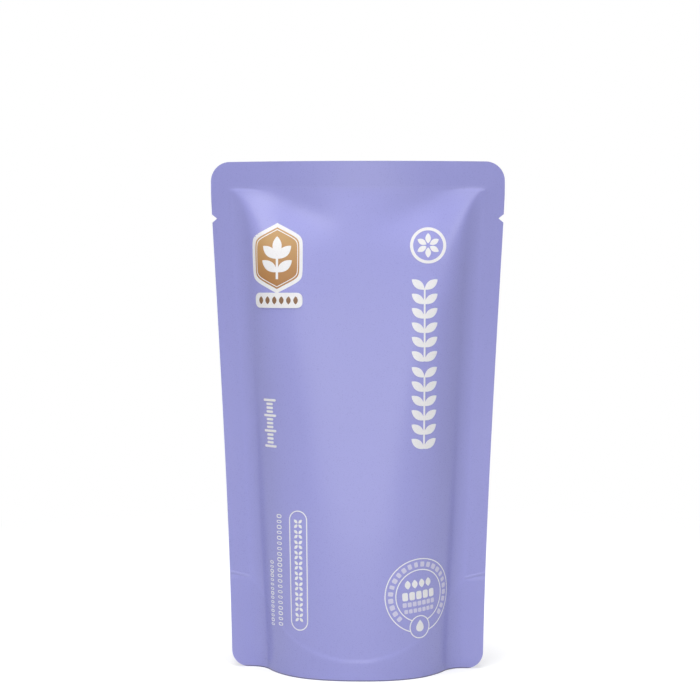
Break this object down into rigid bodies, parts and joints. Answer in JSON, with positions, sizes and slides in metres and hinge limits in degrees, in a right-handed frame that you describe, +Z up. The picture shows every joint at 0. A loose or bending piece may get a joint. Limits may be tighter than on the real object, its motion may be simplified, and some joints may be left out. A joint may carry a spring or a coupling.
{
  "type": "stand-up refill pouch",
  "caption": "Flat-topped stand-up pouch of printed lilac film, heat-sealed all round, with side tear notches and an oval gusseted foot.",
  "frame": {"origin": "middle of the base, on the surface that the pouch stands on", "axes": "+Z up the pouch, +X along the film's width, -Y out of the front panel"},
  "size_m": [0.115, 0.0434, 0.2],
  "materials": {
    "film": "satin"
  },
  "bodies": {
    "root": {"pouch": "film"}
  },
  "joints": []
}
